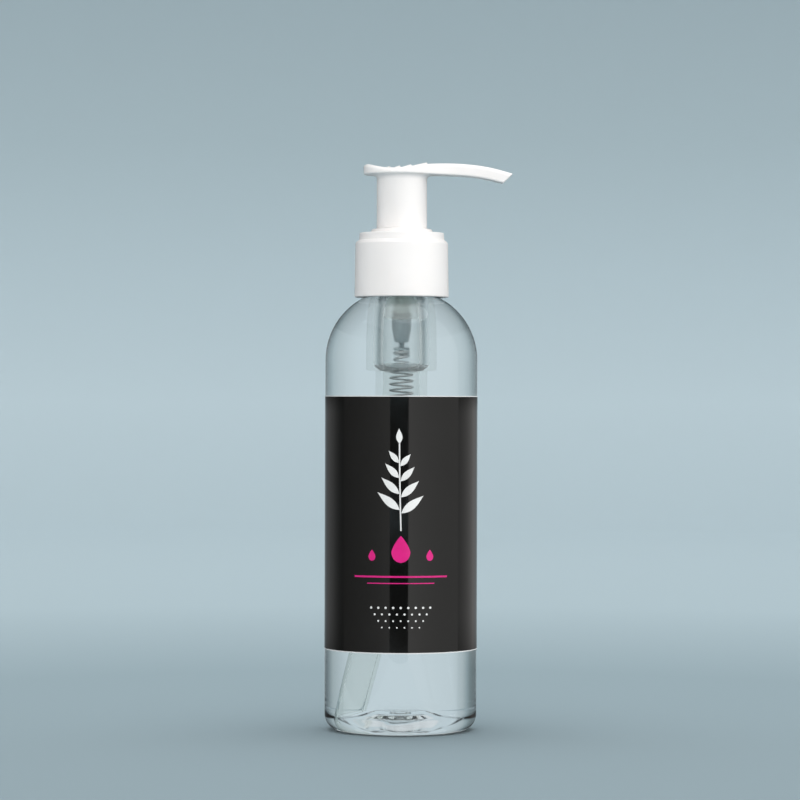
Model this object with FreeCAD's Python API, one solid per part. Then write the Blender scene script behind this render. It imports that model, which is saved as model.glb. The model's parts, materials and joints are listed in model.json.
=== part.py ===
"""Pump bottle for body oil: a clear round-shouldered bottle with a wrap label, closed by a
white lotion pump with a screw collar.

Millimetres, +Z up. The origin is on the bottle's axis, in the plane of its standing ring.
The nozzle points along +X. Every piece is a separate solid in its own node.
"""

import FreeCAD, Part  # noqa: E401

import math
import os

from FreeCAD import Vector as V

# ---------------------------------------------------------------- driving dimensions
# bottle
BODY_R = 23.5            # outside radius of the straight wall
WALL = 0.65              # blown wall
RING_R_IN, RING_R_OUT = 16.9, 18.6   # standing ring
HEEL_Z = 4.9             # top of the heel radius
PUSH_UP = 5.2            # height of the push-up's flat top under the base
BOSS_R0, BOSS_R1, BOSS_FOOT = 5.4, 8.4, 3.75  # the flat top, the foot of its slope and the foot's height
GATE_R, GATE_DEPTH = 2.0, 0.5        # gate mark in its middle
SHOULDER_Z = 114.6       # the straight wall ends here
SHOULDER_R = 21.7        # radius of the shoulder arc
SHOULDER_C = BODY_R - SHOULDER_R     # its centre's distance from the axis
NECK_R = 10.85           # neck outside, without thread
NECK_BORE_R = 9.4
NECK_TOP = 150.0
BEAD_R, BEAD_Z0, BEAD_Z1 = 11.9, 135.5, 136.9

# 24/410 thread: 8 turns to the inch, one and a half turns
PITCH = 3.175
TURNS = 1.5
THREAD_CREST_R = 11.95
THREAD_Z0 = 142.3        # middle of the ridge where it starts
COLLAR_CREST_R = 11.15
COLLAR_DROP = 1.40       # the collar's ridge sits this far below the neck's

# label
LABEL_Z0, LABEL_Z1 = 25.2, 103.5
LABEL_R0, LABEL_T = 23.53, 0.12
LABEL_GAP_DEG = 7.0      # the two ends don't meet at the back

# contents
OIL_LEVEL = 135.8
OIL_GAP_WALL = 0.03
OIL_GAP_PUMP = 0.15

# screw collar
COLLAR_Z0 = 134.0
COLLAR_R0, COLLAR_R1 = 14.62, 14.36  # outside, bottom and top of the skirt
COLLAR_SKIRT_Z = 150.7
COLLAR_STEP_R, COLLAR_STEP_Z = 13.12, 151.7
COLLAR_TOP = 154.0
COLLAR_DECK = 152.6      # underside of the deck
COLLAR_IN_R = 12.35
COLLAR_HOLE_R = 8.9

# retainer ring that guides the head and holds the plunger in
RET_LIP_R, RET_LIP_Z0, RET_LIP_Z1 = 9.5, 154.1, 155.35
RET_BORE_R = 7.95
RET_NECK_R, RET_SLEEVE_R = 8.65, 8.22
RET_WEB_Z0, RET_WEB_Z1 = 137.3, 138.2
RET_GUIDE_IN, RET_GUIDE_OUT = 3.68, 4.6
RET_GUIDE_Z0, RET_GUIDE_Z1 = 136.0, 143.6

# gasket and pump housing
GASKET_R0, GASKET_R1, GASKET_Z0, GASKET_Z1 = 9.3, 11.1, 150.02, 150.98
FLANGE_R, FLANGE_Z0, FLANGE_Z1 = 10.7, 151.0, 152.5
CUP_R, CUP_IN_R, CUP_Z = 9.15, 8.3, 136.4
CHAMBER_R, CHAMBER_IN_R = 7.4, 5.85
CHAMBER_STEP = 111.2     # the wide chamber ends here, in a rounded floor
CHAMBER_ROUND = 3.1
LOWER_R, LOWER_IN_R = 5.45, 3.85
CHAMBER_FLOOR = 88.0     # the spring stands here
BALL_POCKET_R = 2.3
SEAT_Z0, SEAT_Z1, SEAT_R = 82.8, 83.8, 1.3
SOCKET_R, SOCKET_Z0, SOCKET_Z1 = 4.7, 70.0, 81.0
SOCKET_GAP = 0.01

# dip tube
TUBE_R, TUBE_IN_R = 3.5, 2.7
TUBE_TOP = 80.9
TUBE_STRAIGHT_TO = 70.0
TUBE_BEND_R = 60.0       # then it bends towards -X
TUBE_LEAN = 10.6         # and runs on straight at this angle
TUBE_CUT = (-14.3, 4.05, 20.0)       # slanted end: x and z of its low side, slope in degrees

# plunger
STROKE = 9.5             # the piston stays above the chamber's rounded floor
STEM_R, STEM_BORE_R = 3.6, 1.9
STEM_Z0, STEM_SHOULDER, STEM_Z1 = 124.3, 132.6, 167.5
ROD_R, ROD_BORE_R = 2.3, 1.5
PORT_R, PORT_Z = 0.6, 129.9
CORE_HEAD_R, CORE_HEAD_Z = 3.2, 123.6
SPRING_TOP = 116.7       # the spring bears on the core's thin flange here
NECKED_R = 0.85          # the core's thin neck and the peg in the spring
PISTON_R = 5.8
PISTON_Z0, PISTON_Z1 = 123.9, 134.6
SLEEVE_Z1 = 131.3        # the piston slides on the rod by its sleeve, up to the stem's shoulder
assert PISTON_Z0 - STROKE > CHAMBER_STEP + CHAMBER_ROUND

# return spring
WIRE_R, COIL_R = 0.30, 2.3
COILS = 15.0

# inlet ball
BALL_R, BALL_Z = 2.0, 84.36

# actuator head
SKIRT_R, SKIRT_IN_R = 7.8, 6.9
SKIRT_Z0 = 152.6
HEAD_FLOOR = 170.2       # top of the hollow under the head
HEAD_SOCKET_R, HEAD_SOCKET_IN, HEAD_SOCKET_Z0 = 4.9, 3.65, 158.5
HEAD_SOCKET_TOP = 168.0
CHANNEL_R = 1.05
CHANNEL = [(0, 167.5), (0, 171.75), (17.0, 173.5), (26.5, 172.5), (36.5, 169.55)]   # its middle line, x and z
MOUTH_R, MOUTH_DEPTH = 1.75, 0.9

os.makedirs("parts", exist_ok=True)
AXIS0, AXISZ = V(0, 0, 0), V(0, 0, 1)


# ---------------------------------------------------------------- helpers
def section(start, *steps):
    """A face in the XZ half plane from points (r, z): a pair of numbers is a straight
    line to that point, a pair of points is an arc through the first to the second."""
    at = V(start[0], 0, start[1])
    first, edges = at, []
    for s in steps:
        if isinstance(s[0], (tuple, list)):
            mid, end = (V(p[0], 0, p[1]) for p in s)
            edges.append(Part.Arc(at, mid, end).toShape())
        else:
            end = V(s[0], 0, s[1])
            edges.append(Part.LineSegment(at, end).toShape())
        at = end
    if (at - first).Length > 1e-7:
        edges.append(Part.LineSegment(at, first).toShape())
    return Part.Face(Part.Wire(edges))


def turned(start, *steps):
    return section(start, *steps).revolve(AXIS0, AXISZ, 360)


def ring(r0, r1, z0, z1):
    return turned((r0, z0), (r1, z0), (r1, z1), (r0, z1))


def rod(r, z0, z1):
    return Part.makeCylinder(r, z1 - z0, V(0, 0, z0), AXISZ)


def ridge(r_root, r_crest, half_root, half_crest, z0, turns):
    """A trapezoidal thread ridge on a right-hand helix, starting on +X at height z0."""
    helix = Part.makeHelix(PITCH, PITCH * turns, (r_root + r_crest) / 2)
    helix.translate(V(0, 0, z0))
    pts = [V(r_root, 0, z0 - half_root), V(r_crest, 0, z0 - half_crest),
           V(r_crest, 0, z0 + half_crest), V(r_root, 0, z0 + half_root)]
    wire = Part.makePolygon(pts + [pts[0]])
    path = Part.Wire(helix.Edges)
    made = path.makePipeShell([wire], True, True)
    solid = made if made.ShapeType == "Solid" else Part.Solid(Part.Shell(made.Faces))
    if solid.Volume < 0:
        solid.reverse()
    return solid


def save(name, shape):
    if len(shape.Solids) == 1 and shape.ShapeType != "Solid":
        shape = shape.Solids[0]
    if shape.Volume < 0:
        shape.reverse()
    shape.exportStep(f"parts/{name}.step")
    b = shape.BoundBox
    print(f"{name:16s} solids {len(shape.Solids)} valid {shape.isValid()} "
          f"volume {shape.Volume:9.2f}  z {b.ZMin:7.2f}..{b.ZMax:7.2f}  x {b.XMin:6.2f}..{b.XMax:6.2f}")
    return shape


def shoulder_z(r, radius):
    return SHOULDER_Z + math.sqrt(radius ** 2 - (r - SHOULDER_C) ** 2)


def arc_mid(cx, cz, radius, deg):
    a = math.radians(deg)
    return (cx + radius * math.cos(a), cz + radius * math.sin(a))


# ---------------------------------------------------------------- bottle
IN_R = BODY_R - WALL
IN_SHOULDER_R = SHOULDER_R - WALL
ROOT_Z = shoulder_z(NECK_R + 0.75, SHOULDER_R)
HEEL = HEEL_Z
# inside outline, from the middle of the floor up to the bore; used for the oil too
FLOOR_Z = 6.5


def inner_steps(off):
    """The inside outline as steps, moved inwards by off."""
    r_sh = IN_SHOULDER_R - off
    bore = NECK_BORE_R - off
    return [
        (5.1, FLOOR_Z + off),
        ((5.6, FLOOR_Z - 0.07 + off), (6.05, FLOOR_Z - 0.29 + off)),
        (8.0, 5.2 + off),
        ((8.7, 4.92 + off), (9.5, 4.7 + off)),
        ((14.0, 3.3 + off), (18.2 - 0.3 * off, 1.2 + off)),
        ((21.55 - 0.7 * off, 2.5 + 0.7 * off), (IN_R - off, 5.6 + 0.3 * off)),
        (IN_R - off, SHOULDER_Z),
        (arc_mid(SHOULDER_C, SHOULDER_Z, r_sh, 38), (bore, shoulder_z(bore, r_sh))),
    ]


inner = inner_steps(0.0)
outline = [
    (0, FLOOR_Z), *inner, (NECK_BORE_R, NECK_TOP), (NECK_R - 0.35, NECK_TOP), (NECK_R, NECK_TOP - 0.35),
    (NECK_R, BEAD_Z1 + 0.3), (BEAD_R, BEAD_Z1 - 0.2), (BEAD_R, BEAD_Z0 + 0.2), (NECK_R, BEAD_Z0 - 0.3),
    (NECK_R, ROOT_Z + 0.7),
    ((NECK_R + 0.22, ROOT_Z + 0.2), (NECK_R + 0.75, ROOT_Z)),
    (arc_mid(SHOULDER_C, SHOULDER_Z, SHOULDER_R, 35), (BODY_R, SHOULDER_Z)),
    (BODY_R, HEEL),
    (arc_mid(BODY_R - HEEL, HEEL, HEEL, -45), (BODY_R - HEEL, 0)),
    (RING_R_IN, 0),
    ((13.2, 2.1), (BOSS_R1 + 0.9, BOSS_FOOT - 0.2)),
    ((BOSS_R1 + 0.1, BOSS_FOOT + 0.02), (BOSS_R1 - 0.6, BOSS_FOOT + 0.3)),
    (BOSS_R0 + 0.8, PUSH_UP - 0.32),
    ((BOSS_R0 + 0.35, PUSH_UP - 0.08), (BOSS_R0 - 0.15, PUSH_UP)),
    (GATE_R + 0.2, PUSH_UP), (GATE_R, PUSH_UP - GATE_DEPTH), (0, PUSH_UP - GATE_DEPTH),
]
bottle = turned(outline[0], *outline[1:])
bottle = bottle.fuse(ridge(NECK_R - 0.35, THREAD_CREST_R, 1.12, 0.45, THREAD_Z0, TURNS)).removeSplitter()
save("bottle_shell", bottle)

# ---------------------------------------------------------------- label
half = LABEL_GAP_DEG / 2
label = section((LABEL_R0, LABEL_Z0), (LABEL_R0 + LABEL_T, LABEL_Z0),
                (LABEL_R0 + LABEL_T, LABEL_Z1), (LABEL_R0, LABEL_Z1))
label = label.revolve(AXIS0, AXISZ, 360 - LABEL_GAP_DEG)
label.rotate(AXIS0, AXISZ, 90 + half)
save("wrap_label", label)

# ---------------------------------------------------------------- dip tube
# straight out of the housing, a bend towards -X, a straight run and a slanted end
lean = math.radians(TUBE_LEAN)
BEND_END = V(-TUBE_BEND_R * (1 - math.cos(lean)), 0, TUBE_STRAIGHT_TO - TUBE_BEND_R * math.sin(lean))
RUN = V(-math.sin(lean), 0, -math.cos(lean))


def tube_solid(r, extra=0.0):
    top = Part.makeCylinder(r, TUBE_TOP + extra - TUBE_STRAIGHT_TO, V(0, 0, TUBE_STRAIGHT_TO), AXISZ)
    circle = Part.Face(Part.Wire(Part.makeCircle(r, V(0, 0, TUBE_STRAIGHT_TO), AXISZ)))
    bend = circle.revolve(V(-TUBE_BEND_R, 0, TUBE_STRAIGHT_TO), V(0, 1, 0), TUBE_LEAN)
    foot = Part.makeCylinder(r, BEND_END.z / math.cos(lean) + 2, BEND_END, RUN)
    return top.fuse(bend).fuse(foot).removeSplitter()


def below_cut(lift):
    """Everything below the slanted plane of the tube's end."""
    x, z, slope = TUBE_CUT
    box = Part.makeBox(60, 40, 60, V(-30, -20, -60))
    box.rotate(AXIS0, V(0, 1, 0), -slope)
    box.translate(V(x, 0, z + lift))
    return box


tube_full = tube_solid(TUBE_R)
tube = tube_full.cut(tube_solid(TUBE_IN_R, 1.0)).cut(below_cut(0))
save("dip_tube", tube)
run = TUBE_TOP - TUBE_STRAIGHT_TO + TUBE_BEND_R * lean + (BEND_END.z - 5.1) / math.cos(lean)
print(f"dip tube volume expected about {math.pi * (TUBE_R ** 2 - TUBE_IN_R ** 2) * run:.0f}")

# ---------------------------------------------------------------- pump housing


def housing_steps(off):
    """The outside from the dip tube's socket up to the chamber's wall, moved outwards by off."""
    d = off
    return [
        (SOCKET_R - 0.5 + d, SOCKET_Z0 - d), (SOCKET_R + d, SOCKET_Z0 + 0.8 - d), (SOCKET_R + d, CHAMBER_FLOOR - 4.2 - d),
        (LOWER_R - 0.6 + d, CHAMBER_FLOOR - 3.2 - d), (LOWER_R + d, CHAMBER_FLOOR - 1.6 - d),
        (LOWER_R + d, CHAMBER_STEP - d), (CHAMBER_R - 0.6 + d, CHAMBER_STEP - d),
        ((CHAMBER_R - 0.176 + d, CHAMBER_STEP + 0.176 - d), (CHAMBER_R + d, CHAMBER_STEP + 0.6 - d)),
    ]


outer = housing_steps(0.0)
housing = turned(
    outer[0], *outer[1:],
    (CHAMBER_R, CUP_Z - 0.6), (CUP_R - 0.9, CUP_Z), (CUP_R, CUP_Z + 0.9), (CUP_R, FLANGE_Z0),
    (FLANGE_R, FLANGE_Z0), (FLANGE_R, FLANGE_Z1),
    (CUP_IN_R, FLANGE_Z1), (CUP_IN_R, CUP_Z + 0.85), (CHAMBER_IN_R, CUP_Z + 0.85),
    (CHAMBER_IN_R, CHAMBER_STEP + CHAMBER_ROUND),
    ((CHAMBER_IN_R - 0.56, CHAMBER_STEP + 1.0), (LOWER_IN_R, CHAMBER_STEP)),
    (LOWER_IN_R, CHAMBER_FLOOR), (BALL_POCKET_R, CHAMBER_FLOOR), (BALL_POCKET_R, SEAT_Z1),
    (SEAT_R, SEAT_Z0), (SEAT_R, SOCKET_Z1), (TUBE_R + SOCKET_GAP, SOCKET_Z1), (TUBE_R + SOCKET_GAP, SOCKET_Z0),
)
vent = Part.makeCylinder(0.45, 4.0, V(0, -CHAMBER_R - 1.0, 134.4), V(0, 1, 0))
save("pump_housing", housing.cut(vent))

# ---------------------------------------------------------------- oil
g = OIL_GAP_WALL
steps = inner_steps(g)
cavity = turned((0, FLOOR_Z + g), *steps, (NECK_BORE_R - g, OIL_LEVEL), (0, OIL_LEVEL))
p = OIL_GAP_PUMP
around = housing_steps(p)
pump_space = turned((0, SOCKET_Z0 - p), *around, (CHAMBER_R + p, OIL_LEVEL + 5), (0, OIL_LEVEL + 5))
tube_space = tube_solid(TUBE_R + p).cut(below_cut(-p))
oil = cavity.cut(pump_space).cut(tube_space)
save("oil_fill", oil)

# ---------------------------------------------------------------- gasket
save("neck_gasket", ring(GASKET_R0, GASKET_R1, GASKET_Z0, GASKET_Z1))

# ---------------------------------------------------------------- retainer ring
retainer = turned(
    (RET_BORE_R, RET_WEB_Z1), (RET_BORE_R, RET_LIP_Z1 - 0.25), (RET_BORE_R + 0.25, RET_LIP_Z1),
    (RET_LIP_R - 0.75, RET_LIP_Z1 - 0.12),
    ((RET_LIP_R - 0.18, RET_LIP_Z1 - 0.34), (RET_LIP_R, RET_LIP_Z1 - 0.85)),
    (RET_LIP_R, RET_LIP_Z0), (RET_NECK_R, RET_LIP_Z0), (RET_NECK_R, FLANGE_Z1 + 0.02),
    (RET_SLEEVE_R, FLANGE_Z1 + 0.02), (RET_SLEEVE_R, RET_WEB_Z0), (RET_GUIDE_OUT + 0.9, RET_WEB_Z0),
    (RET_GUIDE_OUT + 0.9, RET_GUIDE_Z0 + 0.4), (RET_GUIDE_OUT + 0.5, RET_GUIDE_Z0),
    (RET_GUIDE_IN, RET_GUIDE_Z0), (RET_GUIDE_IN, RET_GUIDE_Z1),
    (RET_GUIDE_OUT - 0.3, RET_GUIDE_Z1), (RET_GUIDE_OUT, RET_GUIDE_Z1 - 0.3), (RET_GUIDE_OUT, RET_WEB_Z1),
)
save("retainer_ring", retainer)

# ---------------------------------------------------------------- screw collar
collar = turned(
    (COLLAR_R0 - 0.25, COLLAR_Z0), (COLLAR_R0, COLLAR_Z0 + 0.25), (COLLAR_R1, COLLAR_SKIRT_Z),
    ((COLLAR_R1 - 0.18, COLLAR_SKIRT_Z + 0.45), (COLLAR_R1 - 0.62, COLLAR_SKIRT_Z + 0.8)),
    (COLLAR_STEP_R + 0.12, COLLAR_STEP_Z), (COLLAR_STEP_R, COLLAR_TOP - 0.95),
    ((COLLAR_STEP_R - 0.27, COLLAR_TOP - 0.27), (COLLAR_STEP_R - 0.95, COLLAR_TOP)),
    (COLLAR_HOLE_R + 0.2, COLLAR_TOP), (COLLAR_HOLE_R, COLLAR_TOP - 0.2), (COLLAR_HOLE_R, COLLAR_DECK),
    (COLLAR_IN_R - 0.7, COLLAR_DECK), (COLLAR_IN_R, COLLAR_DECK - 0.7), (COLLAR_IN_R, COLLAR_Z0 + 3.0),
    (COLLAR_IN_R + 0.25, COLLAR_Z0 + 0.3), (COLLAR_IN_R + 0.55, COLLAR_Z0),
)
collar = collar.fuse(
    ridge(COLLAR_IN_R + 0.35, COLLAR_CREST_R, 1.04, 0.40, THREAD_Z0 - COLLAR_DROP, TURNS)
).removeSplitter()
save("screw_collar", collar)

# ---------------------------------------------------------------- plunger: stem, valve core, piston
stem = turned(
    (ROD_BORE_R, STEM_Z0), (ROD_R, STEM_Z0), (ROD_R, STEM_SHOULDER), (STEM_R - 0.2, STEM_SHOULDER),
    (STEM_R, STEM_SHOULDER + 0.2), (STEM_R, STEM_Z1 - 0.5), (STEM_R - 0.5, STEM_Z1), (STEM_BORE_R, STEM_Z1),
    (STEM_BORE_R, STEM_SHOULDER + 0.8), (ROD_BORE_R, STEM_SHOULDER - 0.2),
)
port = Part.makeCylinder(PORT_R, 10, V(-5, 0, PORT_Z), V(1, 0, 0))
save("pump_stem", stem.cut(port))

core = turned(
    (0, STEM_Z0 + 1.8), (ROD_BORE_R - 0.3, STEM_Z0 + 1.8), (ROD_BORE_R - 0.02, STEM_Z0 + 1.5), (ROD_BORE_R - 0.02, STEM_Z0 - 0.3),
    (ROD_R, STEM_Z0 - 0.3), (CORE_HEAD_R - 0.35, CORE_HEAD_Z), (CORE_HEAD_R, CORE_HEAD_Z - 0.3),
    (CORE_HEAD_R - 0.1, CORE_HEAD_Z - 1.4), (2.95, SPRING_TOP + 3.9), (2.2, SPRING_TOP + 1.55), (NECKED_R, SPRING_TOP + 1.4),
    (NECKED_R, SPRING_TOP + 0.45), (2.5, SPRING_TOP + 0.4), (2.5, SPRING_TOP), (NECKED_R, SPRING_TOP),
    (NECKED_R, SPRING_TOP - 0.8), (0.5, SPRING_TOP - 1.2), (0, SPRING_TOP - 1.2),
)
save("valve_core", core)

WEB_Z0, WEB_Z1 = 127.4, 128.4    # the web between the sleeve and the lips
piston = turned(
    (2.78, CORE_HEAD_Z + 0.06), (3.45, CORE_HEAD_Z + 0.06), (3.55, WEB_Z0), (5.0, WEB_Z0), (5.05, PISTON_Z0 + 0.1),
    (5.35, PISTON_Z0), (PISTON_R, PISTON_Z0 + 0.15), (PISTON_R - 0.02, PISTON_Z0 + 0.75), (5.45, PISTON_Z0 + 1.6),
    (5.45, PISTON_Z1 - 1.6), (PISTON_R - 0.02, PISTON_Z1 - 0.75), (PISTON_R, PISTON_Z1 - 0.15), (5.35, PISTON_Z1),
    (5.05, PISTON_Z1 - 0.1), (5.0, WEB_Z1), (3.5, WEB_Z1), (3.35, SLEEVE_Z1), (2.36, SLEEVE_Z1), (2.36, SLEEVE_Z1 - 0.6),
    (2.78, SLEEVE_Z1 - 1.0),
)
save("piston_seal", piston)

# ---------------------------------------------------------------- return spring
# an even coil with both ends ground flat
free = SPRING_TOP - CHAMBER_FLOOR - 2 * WIRE_R - 0.06
lead = free / COILS
helix = Part.makeHelix(lead, free, COIL_R)
helix.translate(V(0, 0, CHAMBER_FLOOR + WIRE_R + 0.03))
disc = Part.makeCircle(WIRE_R, V(COIL_R, 0, CHAMBER_FLOOR + WIRE_R + 0.03),
                       V(0, COIL_R, lead / (2 * math.pi)))
spring = Part.Wire(helix.Edges).makePipeShell([Part.Wire(disc)], True, True)
spring = spring if spring.ShapeType == "Solid" else Part.Solid(Part.Shell(spring.Faces))
if spring.Volume < 0:
    spring.reverse()
flat_lo = Part.makeBox(10, 10, 5, V(-5, -5, CHAMBER_FLOOR - 4.98))
flat_hi = Part.makeBox(10, 10, 5, V(-5, -5, SPRING_TOP - 0.02))
spring = spring.cut(flat_lo).cut(flat_hi)
save("return_spring", spring)
length = COILS * math.sqrt((2 * math.pi * COIL_R) ** 2 + lead ** 2)
print(f"spring wire volume expected {math.pi * WIRE_R ** 2 * length:.1f}")

# ---------------------------------------------------------------- inlet ball
save("inlet_ball", Part.makeSphere(BALL_R, V(0, 0, BALL_Z)))

# ---------------------------------------------------------------- actuator head
# side outline: a saddle for the thumb that runs on into the drooping nozzle
TOP = [(-15.0, 176.3), (-11.9, 175.7), (-10.5, 175.2), (-7.7, 174.33), (-4.9, 173.8), (-2.3, 173.72), (0.1, 173.85),
       (3.1, 174.3), (7.9, 175.07), (12.5, 175.36), (15.6, 175.38), (20.2, 175.16), (23.3, 174.84), (26.4, 174.36),
       (29.5, 173.68), (32.6, 172.83), (34.3, 172.34)]
LOW = [(31.2, 169.45), (29.5, 169.89), (26.4, 170.62), (23.3, 171.16), (20.2, 171.5), (16.2, 171.75), (11.5, 171.92),
       (7.0, 172.0), (0.0, 172.05), (-7.0, 172.05), (-15.0, 172.0)]
# grip ribs: saw teeth across the saddle, each (low end, crest, drop)
RIBS = [((-4.9, 173.79), (-3.75, 174.05), (-3.45, 173.74)), ((-2.3, 173.72), (-0.75, 174.28), (-0.32, 173.8)),
        ((0.12, 173.85), (2.72, 174.7), (3.08, 174.29)), ((3.5, 174.36), (7.55, 175.45), (7.9, 175.05))]
# plan outline: a round thumb pad that narrows to the nozzle
PLAN = [(-11.9, 0), (-11.15, 4.3), (-8.9, 7.6), (-5.2, 9.6), (-0.6, 10.1), (4.2, 8.9), (8.4, 6.5), (12.2, 4.85),
        (16.6, 4.15), (21.2, 3.86), (25.8, 3.7), (30.4, 3.56), (35.0, 3.42)]
TOP_ROUND, LOW_ROUND, SKIRT_FILLET = 1.1, 0.5, 1.6


def spline(pts):
    c = Part.BSplineCurve()
    c.interpolate([V(x, 0, z) for x, z in pts])
    return c.toShape()


def across(pts, y):
    """A flat polygon in the XZ plane, drawn out to y on both sides."""
    f = Part.Face(Part.makePolygon([V(x, -y, z) for x, z in [*pts, pts[0]]]))
    return f.extrude(V(0, 2 * y, 0))


def straight(a, b):
    return Part.LineSegment(V(a[0], 0, a[1]), V(b[0], 0, b[1])).toShape()


side = Part.Face(Part.Wire([spline(TOP), straight(TOP[-1], LOW[0]), spline(LOW), straight(LOW[-1], TOP[0])]))
slab = side.extrude(V(0, 30, 0))
slab.translate(V(0, -15, 0))


def plan_face(shrink):
    half = [(PLAN[0][0] + shrink, 0.0)]
    half += [(x + (shrink * 0.7 if x < -8 else 0), y - shrink) for x, y in PLAN[1:]]
    around = [(x, -y) for x, y in half[:0:-1]] + half
    c = Part.BSplineCurve()
    c.interpolate([V(x, y, 160) for x, y in around])
    close = Part.LineSegment(V(*around[-1], 160), V(*around[0], 160)).toShape()
    return Part.Face(Part.Wire([c.toShape(), close]))


head = plan_face(0).extrude(V(0, 0, 30)).common(slab).Solids[0]
print("head valid", head.isValid(), f"{head.Volume:.1f}")


def rounded(shape, radii, pick):
    """Rounds the edges that pick chooses with the first radius that works."""
    edges = [e for e in shape.Edges if pick(e)]
    for r in radii:
        try:
            made = shape.makeFillet(r, edges)
        except Exception:
            continue
        if made.isValid() and len(made.Solids) == 1 and made.Volume > 0.5 * shape.Volume:
            print(f"rounded {len(edges)} edges at {r}")
            return made.Solids[0]
    print(f"{len(edges)} edges left sharp")
    return shape


def rim(low):
    def pick(e):
        b = e.BoundBox
        mid = e.valueAt((e.FirstParameter + e.LastParameter) / 2)
        return b.XLength > 20 and (mid.z < 173.0) == low
    return pick


head = rounded(head, (TOP_ROUND, 1.0, 0.9, 0.75, 0.6, 0.4), rim(False))
head = rounded(head, (LOW_ROUND, 0.4, 0.3), rim(True))
inset = plan_face(0.5).extrude(V(0, 0, 30))
for low, crest, drop in RIBS:
    tooth = across([low, crest, drop, (drop[0], drop[1] - 0.8), (low[0], low[1] - 0.8)], 12)
    head = head.fuse(tooth.common(inset))
head = head.removeSplitter()
print("ribbed valid", head.isValid(), f"{head.Volume:.1f}")
body = head.fuse(rod(SKIRT_R, SKIRT_Z0, 172.6)).removeSplitter()


def under_pad(e):
    b = e.BoundBox
    return 171.0 < b.ZMin and b.ZMax < 172.5 and b.XMax < SKIRT_R + 0.4 and b.XMin > -SKIRT_R - 0.4 \
        and max(abs(math.hypot(q.x, q.y) - SKIRT_R) for q in e.discretize(12)) < 0.02


body = rounded(body, (SKIRT_FILLET, 1.5, 1.4, 1.3, 1.2, 1.1, 0.9, 0.7, 0.5, 0.3), under_pad)
body = body.cut(rod(SKIRT_IN_R, SKIRT_Z0 - 1, HEAD_FLOOR))
body = body.fuse(rod(HEAD_SOCKET_R, HEAD_SOCKET_Z0, HEAD_FLOOR + 0.2))
body = body.cut(rod(HEAD_SOCKET_IN, HEAD_SOCKET_Z0 - 1, HEAD_SOCKET_TOP))
# the way out: up from the socket, along the nozzle and down its droop, into a wider mouth
body = body.removeSplitter()
pts = [V(x, 0, z) for x, z in CHANNEL]
for a, b in zip(pts, pts[1:]):
    body = body.cut(Part.makeCylinder(CHANNEL_R, (b - a).Length, a, b - a))
for q in pts[1:-1]:
    body = body.cut(Part.makeSphere(CHANNEL_R, q))
tip = V((TOP[-1][0] + LOW[0][0]) / 2, 0, (TOP[-1][1] + LOW[0][1]) / 2)
face_out = V(TOP[-1][1] - LOW[0][1], 0, LOW[0][0] - TOP[-1][0]).normalize()
body = body.cut(Part.makeCylinder(MOUTH_R, MOUTH_DEPTH + 2, tip - face_out * MOUTH_DEPTH, face_out))
save("actuator_head", body)
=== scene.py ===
"""Looks of the pump bottle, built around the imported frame. Lengths are given in millimetres and
turned into metres where the meshes are made."""

import json
import math

import bmesh
import bpy
import numpy as np
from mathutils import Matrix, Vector

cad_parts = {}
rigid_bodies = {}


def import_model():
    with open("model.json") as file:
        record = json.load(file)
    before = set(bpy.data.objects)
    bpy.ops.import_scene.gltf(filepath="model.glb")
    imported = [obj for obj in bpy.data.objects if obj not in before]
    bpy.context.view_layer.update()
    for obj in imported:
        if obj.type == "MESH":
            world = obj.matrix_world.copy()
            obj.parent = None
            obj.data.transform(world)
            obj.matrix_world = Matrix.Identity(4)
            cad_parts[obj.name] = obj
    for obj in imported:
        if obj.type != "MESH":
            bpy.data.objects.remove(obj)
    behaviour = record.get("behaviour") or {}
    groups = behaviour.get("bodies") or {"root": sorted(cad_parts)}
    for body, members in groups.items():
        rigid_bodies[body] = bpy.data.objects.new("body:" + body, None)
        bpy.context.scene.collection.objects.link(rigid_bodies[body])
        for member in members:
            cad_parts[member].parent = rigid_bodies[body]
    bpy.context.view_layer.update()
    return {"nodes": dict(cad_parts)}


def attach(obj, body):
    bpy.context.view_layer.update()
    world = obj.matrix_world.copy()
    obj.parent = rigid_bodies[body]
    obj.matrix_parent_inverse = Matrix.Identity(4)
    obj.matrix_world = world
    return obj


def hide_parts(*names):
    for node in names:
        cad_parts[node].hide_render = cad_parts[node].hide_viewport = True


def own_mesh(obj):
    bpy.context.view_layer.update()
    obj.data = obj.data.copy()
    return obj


MM = 0.001
TAU = 2 * math.pi

for o in list(bpy.data.objects):
    bpy.data.objects.remove(o, do_unlink=True)
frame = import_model()
scene = bpy.context.scene

# ------------------------------------------------------------------ sizes, as in the frame
BODY_R, WALL = 23.5, 0.65
SHOULDER_Z, SHOULDER_R = 114.6, 21.7
SHOULDER_C = BODY_R - SHOULDER_R
NECK_R, NECK_BORE_R, NECK_TOP = 10.85, 9.4, 150.0
PITCH, TURNS = 3.175, 1.5
THREAD_CREST_R, THREAD_Z0 = 11.95, 142.3
COLLAR_CREST_R, COLLAR_DROP, COLLAR_IN_R = 11.15, 1.40, 12.35
LABEL_Z0, LABEL_Z1, LABEL_R0, LABEL_R1 = 25.2, 103.5, 23.53, 23.65
OIL_LEVEL = 135.8
CHAMBER_STEP = 111.2
SPRING_Z0, SPRING_Z1, WIRE_R, COIL_R = 88.0, 116.7, 0.30, 2.3


# ------------------------------------------------------------------ mesh helpers
def arc(cx, cz, r, a0, a1, n):
    """Points on an arc, angles in degrees."""
    return [
        (cx + r * math.cos(math.radians(a0 + (a1 - a0) * i / n)), cz + r * math.sin(math.radians(a0 + (a1 - a0) * i / n)))
        for i in range(n + 1)
    ]


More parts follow.
